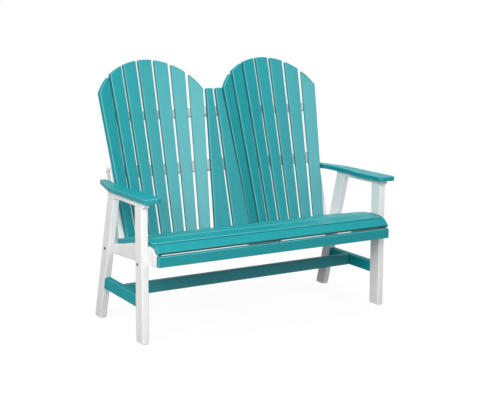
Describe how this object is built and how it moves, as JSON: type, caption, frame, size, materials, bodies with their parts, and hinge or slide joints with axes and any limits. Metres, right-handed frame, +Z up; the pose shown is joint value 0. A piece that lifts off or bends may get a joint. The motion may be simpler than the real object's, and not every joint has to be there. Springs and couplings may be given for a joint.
{
  "type": "outdoor loveseat",
  "caption": "Fan-back outdoor loveseat of moulded boards: twin arched slatted backs, contoured slatted seat, flat arms, and straight legs joined by stretchers.",
  "frame": {"origin": "middle of the bounding box, on the floor", "axes": "+X to the right hand of someone who stands in front and looks at the seat, -Y the way the seat faces, +Z up"},
  "size_m": [1.292, 0.7276, 1.172],
  "materials": {
    "teal_board": "satin moulded board, lightly brushed along its length",
    "white_board": "satin moulded board, lightly brushed along its length",
    "steel_head": "stainless bolt and screw heads"
  },
  "bodies": {
    "root": {"frontLegLeft": "white_board", "rearLegLeft": "white_board", "sideStretcherLeft": "teal_board", "armStripLeft": "white_board", "armLeft": "teal_board", "backSlatLeft1": "teal_board", "backSlatLeft2": "teal_board", "backSlatLeft3": "teal_board", "backSlatLeft4": "teal_board", "backSlatLeft5": "teal_board", "backSlatLeft6": "teal_board", "backSlatLeft7": "teal_board", "backSlatCentreLeft": "teal_board", "backPostLeft": "white_board", "frontBoltLeft": "steel_head", "rearBoltLeft": "steel_head", "frontScrewLeft": "steel_head", "rearScrewLeft": "steel_head", "frontLegRight": "white_board", "rearLegRight": "white_board", "sideStretcherRight": "teal_board", "armStripRight": "white_board", "armRight": "teal_board", "backSlatRight1": "teal_board", "backSlatRight2": "teal_board", "backSlatRight3": "teal_board", "backSlatRight4": "teal_board", "backSlatRight5": "teal_board", "backSlatRight6": "teal_board", "backSlatRight7": "teal_board", "backSlatCentreRight": "teal_board", "backPostRight": "white_board", "frontBoltRight": "steel_head", "rearBoltRight": "steel_head", "frontScrewRight": "steel_head", "rearScrewRight": "steel_head", "longStretcher": "teal_board", "seatNose": "teal_board", "seatSlat1": "teal_board", "seatSlat2": "teal_board", "seatSlat3": "teal_board", "seatSlat4": "teal_board", "seatSlat5": "teal_board", "apron": "teal_board", "seatRailLeft": "white_board", "seatRailRight": "white_board", "seatSupport": "white_board", "backRailTop": "white_board", "backRailMid": "white_board", "backRailLow": "white_board"}
  },
  "joints": []
}
